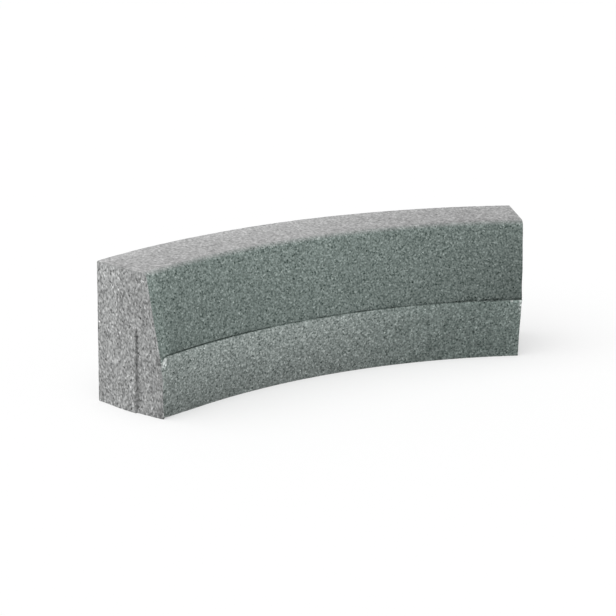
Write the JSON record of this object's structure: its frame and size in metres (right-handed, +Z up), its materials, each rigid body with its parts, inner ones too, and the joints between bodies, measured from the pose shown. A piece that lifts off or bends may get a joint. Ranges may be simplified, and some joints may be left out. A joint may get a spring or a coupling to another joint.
{
  "type": "curved kerb stone",
  "caption": "Curved concrete kerb stone with a battered concave road face, rounded top edge and slightly proud foot; stands on its flat base.",
  "frame": {"origin": "under the middle of the bounding box, on the plane of the base", "axes": "+X along the stone's chord, -Y towards the road side, which is concave and battered, +Z up from the base to the tread"},
  "size_m": [0.8638, 0.2228, 0.255],
  "materials": {
    "concrete": "matt, fine-grained cast concrete"
  },
  "bodies": {
    "root": {"kerb_stone": "concrete"}
  },
  "joints": []
}
